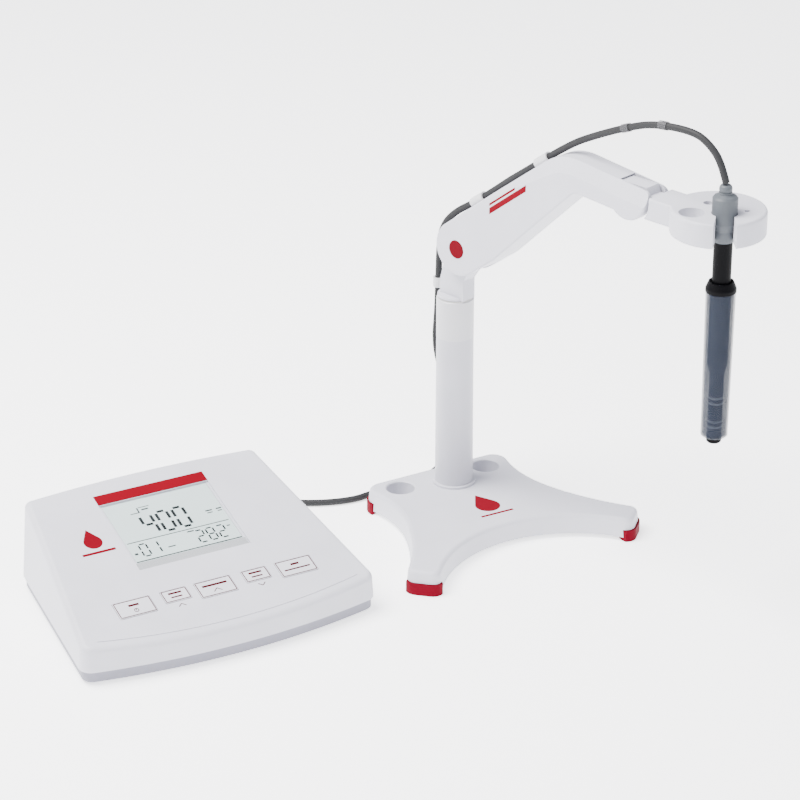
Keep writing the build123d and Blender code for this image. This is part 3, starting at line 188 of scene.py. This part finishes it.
def make_clear(name, colour, roughness, clarity, haze=0.0, shine=0.5):
    """A clear moulding: part of the light goes straight through, the rest is a glossy skin."""
    material = bpy.data.materials.new(name)
    material.use_nodes = True
    tree = material.node_tree
    shader = tree.nodes["Principled BSDF"]
    shader.inputs["IOR"].default_value = 1.45
    shader.inputs["Specular IOR Level"].default_value = shine
    shader.inputs["Roughness"].default_value = roughness
    place = tree.nodes.new("ShaderNodeTexCoord").outputs["Object"]
    clouds = tree.nodes.new("ShaderNodeTexNoise")
    clouds.inputs["Scale"].default_value = 60
    wire(tree, place, clouds.inputs["Vector"])
    shades = tree.nodes.new("ShaderNodeValToRGB")
    shades.color_ramp.elements[0].color = (*[c * 0.96 for c in colour], 1)
    shades.color_ramp.elements[1].color = (*colour, 1)
    wire(tree, clouds.outputs["Fac"], shades.inputs["Fac"])
    wire(tree, shades.outputs["Color"], shader.inputs["Base Color"])
    fog = tree.nodes.new("ShaderNodeMapRange")
    fog.inputs["To Min"].default_value = max(0.0, 1 - clarity - haze)
    fog.inputs["To Max"].default_value = 1 - clarity + haze
    wire(tree, clouds.outputs["Fac"], fog.inputs["Value"])
    wire(tree, fog.outputs["Result"], shader.inputs["Alpha"])
    return material


LOOKS = {
    "case_white": make_material("case_white", (0.58, 0.58, 0.63), 0.42, grain=0.12, haze=0.05, shine=0.35),
    "case_lower": make_material("case_lower", (0.24, 0.24, 0.285), 0.5, grain=0.15, shine=0.3),
    "accent_red": make_material("accent_red", (0.165, 0.0006, 0.008), 0.42, grain=0.03, shine=0.03),
    "display": make_material("display", (0.53, 0.63, 0.62), 0.55, drift=0.015),
    "key_white": make_material("key_white", (0.60, 0.60, 0.64), 0.45, grain=0.1),
    "inner_black": make_material("inner_black", (0.01, 0.01, 0.012), 0.5, grain=0.1),
    "circuit_board": make_material("circuit_board", (0.008, 0.07, 0.03), 0.4, grain=0.1, drift=0.15),
    "dome_metal": make_material("dome_metal", (0.4, 0.4, 0.42), 0.3, metallic=1.0),
    "screw_steel": make_material("screw_steel", (0.32, 0.32, 0.34), 0.35, grain=0.1, metallic=1.0),
    "socket_dark": make_material("socket_dark", (0.012, 0.012, 0.014), 0.45, grain=0.1),
    "foot_rubber": make_material("foot_rubber", (0.016, 0.016, 0.018), 0.75, grain=0.3, drift=0.1),
    "foot_red": make_material("foot_red", (0.13, 0.0006, 0.009), 0.5, grain=0.15, drift=0.05, shine=0.03),
    "stand_white": make_material("stand_white", (0.56, 0.56, 0.61), 0.45, grain=0.12, haze=0.05, shine=0.35),
    "stand_plate": make_material("stand_plate", (0.16, 0.16, 0.18), 0.55, grain=0.3, drift=0.08),
    "column_grey": make_material("column_grey", (0.50, 0.50, 0.545), 0.38, grain=0.08),
    "collar_white": make_material("collar_white", (0.56, 0.56, 0.58), 0.4, grain=0.08),
    "bush_plastic": make_material("bush_plastic", (0.42, 0.42, 0.40), 0.35),
    "pin_steel": make_material("pin_steel", (0.36, 0.36, 0.38), 0.22, metallic=1.0),
    "cap_red": make_material("cap_red", (0.115, 0.0004, 0.006), 0.42, grain=0.03, shine=0.03),
    "clip_white": make_material("clip_white", (0.60, 0.60, 0.61), 0.35, grain=0.04),
    "sleeve_clear": make_clear("sleeve_clear", (0.10, 0.10, 0.105), 0.35, 0.45, 0.05, shine=0.3),
    "lead_grey": make_material("lead_grey", (0.026, 0.0265, 0.0275), 0.55, grain=0.2, drift=0.12, shine=0.15),
    "plug_dark": make_material("plug_dark", (0.015, 0.015, 0.017), 0.5, grain=0.15),
    "probe_grey": make_material("probe_grey", (0.085, 0.095, 0.105), 0.45, grain=0.1, shine=0.3),
    "probe_black": make_material("probe_black", (0.0014, 0.0014, 0.002), 0.5, grain=0.08, shine=0.07),
    "sensor_blue": make_material("sensor_blue", (0.003, 0.006, 0.014), 0.45, shine=0.08),
    "ring_white": make_material("ring_white", (0.42, 0.45, 0.5), 0.3, metallic=0.4),
    "tube_clear": make_clear("tube_clear", (0.030, 0.037, 0.055), 0.18, 0.45, 0.06, shine=0.12),
    "tube_trim": make_material("tube_trim", (0.0014, 0.0014, 0.002), 0.5, grain=0.1, shine=0.07),
    "window_clear": make_clear("window_clear", (0.30, 0.36, 0.36), 0.08, 0.97, shine=0.08),
}
INK = make_material("ink", (0.0025, 0.003, 0.004), 0.6, drift=0.1, shine=0.02)
GREY_INK = make_material("grey_ink", (0.022, 0.025, 0.028), 0.6, drift=0.1, shine=0.03)
LINE_RED = make_material("line_red", (0.055, 0.006, 0.009), 0.5, drift=0.1, shine=0.05)
PRINT_RED = make_material("print_red", (0.15, 0.0006, 0.008), 0.45, drift=0.06, shine=0.03)
STRIP_GREY = make_material("strip_grey", (0.36, 0.37, 0.385), 0.5)


def dress_nodes():
    """Each CAD node takes the look of its slot in the record."""
    slots = {part["node"]: part["material_slot"] for part in frame["record"]["subparts"]}
    for name, node in frame["nodes"].items():
        look = LOOKS[slots[name]]
        if node.material_slots:
            for place in node.material_slots:
                place.material = look
        else:
            node.data.materials.append(look)


# ---------------------------------------------------------------- small modelling helpers
def add_mesh(name, vertices, faces, look, body):
    mesh = bpy.data.meshes.new(name)
    mesh.from_pydata([tuple(v) for v in vertices], [], faces)
    mesh.update()
    piece = bpy.data.objects.new(name, mesh)
    bpy.context.collection.objects.link(piece)
    mesh.materials.append(look)
    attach(piece, body)
    return piece


PRINT_T = 0.05      # how thick a print is, in millimetres


def bar(x, y, width, height):
    """A rectangle about a middle point."""
    return [(x - width / 2, y - height / 2), (x + width / 2, y - height / 2),
            (x + width / 2, y + height / 2), (x - width / 2, y + height / 2)]


def stroke(start, end, width):
    """A straight line of a given width."""
    along = Vector((end[0] - start[0], end[1] - start[1]))
    side = Vector((-along.y, along.x)).normalized() * width / 2
    return [(start[0] - side.x, start[1] - side.y), (end[0] - side.x, end[1] - side.y),
            (end[0] + side.x, end[1] + side.y), (start[0] + side.x, start[1] + side.y)]


def strokes(points, width, close=False):
    """A line through points, as separate strokes."""
    ends = list(zip(points, points[1:])) + ([(points[-1], points[0])] if close else [])
    return [stroke(a, b, width) for a, b in ends]


def disc(x, y, radius, steps=28):
    return [(x + radius * cos(2 * pi * i / steps), y + radius * sin(2 * pi * i / steps)) for i in range(steps)]


def droplet(x, y, size):
    """A drop with its tip upwards, size from its round middle to the tip."""
    radius = size * 0.5
    shape = [(x, y + size)]
    for i in range(25):
        turn = radians(30 - 240 * i / 24)
        shape.append((x + radius * cos(turn), y + radius * sin(turn)))
    return shape[::-1]


SEGMENTS = {"0": "abcdef", "1": "bc", "4": "bcfg", "2": "abged", "5": "afgcd", "7": "abc", "8": "abcdefg"}


def digit(figure, x, y, width, height, line):
    """A seven-segment figure with its lower left corner at x, y."""
    mid, gap = height / 2, line * 0.7
    bars = {"a": ((gap, height), (width - gap, height)), "d": ((gap, 0), (width - gap, 0)),
            "g": ((gap, mid), (width - gap, mid)), "b": ((width, mid + gap), (width, height - gap)),
            "c": ((width, gap), (width, mid - gap)), "e": ((0, gap), (0, mid - gap)),
            "f": ((0, mid + gap), (0, height - gap))}
    return [stroke((x + a[0], y + a[1]), (x + b[0], y + b[1]), line)
            for a, b in (bars[part] for part in SEGMENTS[figure])]


def add_print(name, shapes, place, look, body):
    """Thin raised shapes; place turns a shape's x, y and a height into a point."""
    vertices, faces = [], []
    for shape in shapes:
        first, count = len(vertices), len(shape)
        vertices += [place(x, y, 0.0) for x, y in shape] + [place(x, y, PRINT_T) for x, y in shape]
        faces.append(tuple(range(first + count, first + 2 * count)))
        faces.append(tuple(reversed(range(first, first + count))))
        for i in range(count):
            j = (i + 1) % count
            faces.append((first + i, first + j, first + count + j, first + count + i))
    return add_mesh(name, vertices, faces, look, body)


def panel_at(height):
    return lambda x, y, up: on_panel(x, y, height + up)


# ---------------------------------------------------------------- display and prints on the meter
LCD_TOP, KEY_TOP = -1.44, 0.36
KEYS = {"escape": (-59.2, 26.2, 26.6, 15.4), "memory": (-28.8, 28.0, 18.8, 11.6),
        "read": (-0.2, 26.2, 26.4, 15.4), "mode": (30.5, 28.0, 18.4, 11.6),
        "calibrate": (59.8, 26.2, 26.4, 15.4)}


def add_display():
    figures = []
    for i, figure in enumerate("400"):
        figures += digit(figure, -19.0 + 12.0 * i, 90.0, 7.9, 19.8, 2.1)
    for x, figure in ((-31.5, "0"), (-23.5, "1"), (10.5, "2"), (18.4, "8"), (26.3, "2")):
        figures += digit(figure, x, 71.2, 5.3, 12.0, 1.2)
    for x, width in ((29.0, 5.0), (36.5, 4.0)):
        figures += [bar(x, 99.5, width, 1.1), bar(x, 97.2, width * 0.8, 0.8)]
    figures += [bar(8.0, 84.0, 5.0, 1.0)]
    add_print("figures", figures, panel_at(LCD_TOP), INK, "bench_parts")
    faint = [bar(-17.0, 115.5, 1.0, 5.0), bar(-12.0, 115.5, 5.0, 1.2), bar(-12.0, 118.0, 8.0, 0.6),
             bar(-20.0, 113.2, 7.0, 0.7), bar(0.0, 86.4, 76.0, 0.7), bar(-10.0, 74.5, 5.5, 1.0),
             bar(35.2, 81.0, 2.4, 1.0), bar(-36.0, 75.0, 2.4, 1.8)]
    add_print("faint_figures", faint, panel_at(LCD_TOP), GREY_INK, "bench_parts")
    add_print("figure_rule", [bar(0, 67.3, 78.2, 0.9)], panel_at(LCD_TOP), INK, "bench_parts")
    add_print("window_strip", [bar(0, 62.4, 81.6, 7.2)], panel_at(-1.27), STRIP_GREY, "bench_parts")


def add_key_prints():
    """A fine outline on each key and a small plain sign, no letters."""
    for name, (x, slope, width, height) in KEYS.items():
        w, h = width / 2 - 0.75, height / 2 - 0.75
        frame_line = [(x - w, slope - h), (x + w, slope - h), (x + w, slope + h), (x - w, slope + h)]
        add_print(f"{name}_outline", strokes(frame_line, 0.65, close=True), panel_at(KEY_TOP), LINE_RED,
                  f"key_{name}")
        if name in ("memory", "mode"):
            signs = [bar(x, slope + 2.0, 9.4, 1.6), bar(x, slope - 1.7, 8.0, 1.2)]
        elif name == "escape":
            signs = [bar(x, slope + 2.4, 7.4, 1.8)] + strokes(disc(x, slope - 2.8, 1.5, 14), 0.5, close=True)
            signs += [bar(x, slope - 2.0, 0.6, 1.9)]
        elif name == "read":
            signs = [bar(x, slope + 2.4, 18.0, 1.8)] + strokes([(x - 3, slope - 4.2), (x, slope - 1.4),
                                                               (x + 3, slope - 4.2)], 0.6)
        else:
            signs = [bar(x, slope + 2.6, 6.0, 1.8), bar(x, slope - 1.9, 19.0, 1.2)]
        add_print(f"{name}_sign", signs, panel_at(KEY_TOP), LINE_RED, f"key_{name}")
    carets = strokes([(-31.2, 17.0), (-28.6, 19.4), (-26.0, 17.0)], 0.6)
    carets += strokes([(28.0, 19.4), (30.6, 17.0), (33.2, 19.4)], 0.6)
    add_print("carets", carets, panel_at(0.01), LINE_RED, "bench_parts")


def add_marks():
    """Plain red marks: a drop on the panel and on the stand's foot, two bars on the arm."""
    mark = [droplet(-59.5, 94.5, 13.0), bar(-59.5, 84.0, 24.0, 2.2)]
    add_print("panel_mark", mark, panel_at(0.01), PRINT_RED, "bench_parts")
    top = 17.5

    def on_base(x, y, up):
        return Vector(((STAND_X + x * MM), (STAND_Y + y * MM), (top + 0.01 + up) * MM))
    add_print("base_mark", [droplet(1.0, -47.0, 18.0), bar(1.0, -60.5, 26.0, 2.2)], on_base, PRINT_RED,
              "bench_parts")

    def on_arm(x, y, up):
        return Vector(by_arm(x, -(14.01 + up), y))
    slope = 0.769
    start = (44.0, 240.5)
    run = 33.0
    bars = [[(start[0], start[1]), (start[0] + run, start[1] + run * slope),
             (start[0] + run, start[1] + run * slope + 4.6), (start[0], start[1] + 4.6)],
            [(start[0], start[1] + 6.2), (start[0] + run * 0.7, start[1] + run * 0.7 * slope + 6.2),
             (start[0] + run * 0.7, start[1] + run * 0.7 * slope + 8.0), (start[0], start[1] + 8.0)]]
    add_print("arm_mark", bars, on_arm, PRINT_RED, "arm")


# ---------------------------------------------------------------- lead
LEAD_D = 4.8 * MM


def halfway(first, second):
    return tuple((a + b) / 2 for a, b in zip(first, second))


def lead_routes():
    bench = [on_bench(20, 172, 25), on_bench(20, 191, 25), on_bench(29, 209, 15), on_bench(49, 217, 5),
             on_bench(77, 208, 2.5), on_bench(107, 182, 2.5), on_bench(138, 159, 2.5),
             on_bench(168, 148.5, 2.5), on_bench(189, 152, 2.5), on_bench(210, 153, 2.5),
             on_bench(234, 151.5, 4.5), on_bench(248, 147, 20), on_bench(248, 142.5, 48),
             on_bench(241, 138, 82), on_bench(229, 135.5, 117), by_arm(-16.8, 0, 151)]
    arm = [by_arm(-15.7, 0, 200), by_arm(-11.2, 0, 215), by_arm(0.4, 0, 227.2), by_arm(18, 0, 238.4),
           by_arm(35.5, 0, 251.8), by_arm(50, 0, 263.3), by_arm(64.5, 0, 273.9)]
    arc = [by_arm(104, 0, 303.4), by_arm(127, 0, 315.4), by_arm(150, 0, 326.0), by_arm(174, 0, 335.0)]
    tail = [by_arm(207, 0.5, 337.6), by_arm(220, 1.3, 331.2), by_arm(228.8, 1.9, 321.2),
            by_arm(232.8, 2.3, 309.0)]
    neck_joint = halfway(bench[-1], arm[0])
    arm_joint = halfway(arm[-1], arc[0])
    arc_joint = halfway(arc[-1], tail[0])
    return {"lead_bench": [*bench, neck_joint], "lead_arm": [neck_joint, *arm, arm_joint],
            "lead_arc": [arm_joint, *arc, arc_joint], "lead_tail": [arc_joint, *tail]}


def add_lead(name, route, body):
    """One stretch of the lead: a round tube on a smooth NURBS spline."""
    data = bpy.data.curves.new(name, "CURVE")
    data.dimensions = "3D"
    data.bevel_depth = 1        # times each point's radius, which the curve's box also counts
    data.bevel_resolution = 6
    data.resolution_u = 16
    data.use_fill_caps = True
    spline = data.splines.new("NURBS")
    spline.points.add(len(route) - 1)
    for point, place in zip(spline.points, route):
        point.co = (*place, 1)
        point.radius = LEAD_D / 2
    spline.order_u = 3
    spline.use_endpoint_u = True
    piece = bpy.data.objects.new(f"{name}_run", data)
    bpy.context.collection.objects.link(piece)
    data.materials.append(LOOKS["lead_grey"])
    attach(piece, body)
    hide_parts(name)
    return piece


def curve_length(piece):
    """The length of a curve's own line."""
    depth = piece.data.bevel_depth
    piece.data.bevel_depth = 0
    bpy.context.view_layer.update()
    line = bpy.data.meshes.new_from_object(piece.evaluated_get(bpy.context.evaluated_depsgraph_get()))
    piece.data.bevel_depth = depth
    bpy.context.view_layer.update()
    points = [v.co.copy() for v in line.vertices]
    bpy.data.meshes.remove(line)
    return sum((b - a).length for a, b in zip(points, points[1:]))


def add_leads():
    routes = lead_routes()
    bodies = {"lead_bench": "bench_parts", "lead_arm": "arm", "lead_arc": "holder", "lead_tail": "probe"}
    runs = {name: add_lead(name, route, bodies[name]) for name, route in routes.items()}
    for name, run in runs.items():
        length = curve_length(run)


add_camera()
add_stage()
dress_nodes()
add_display()
add_key_prints()
add_marks()
add_leads()
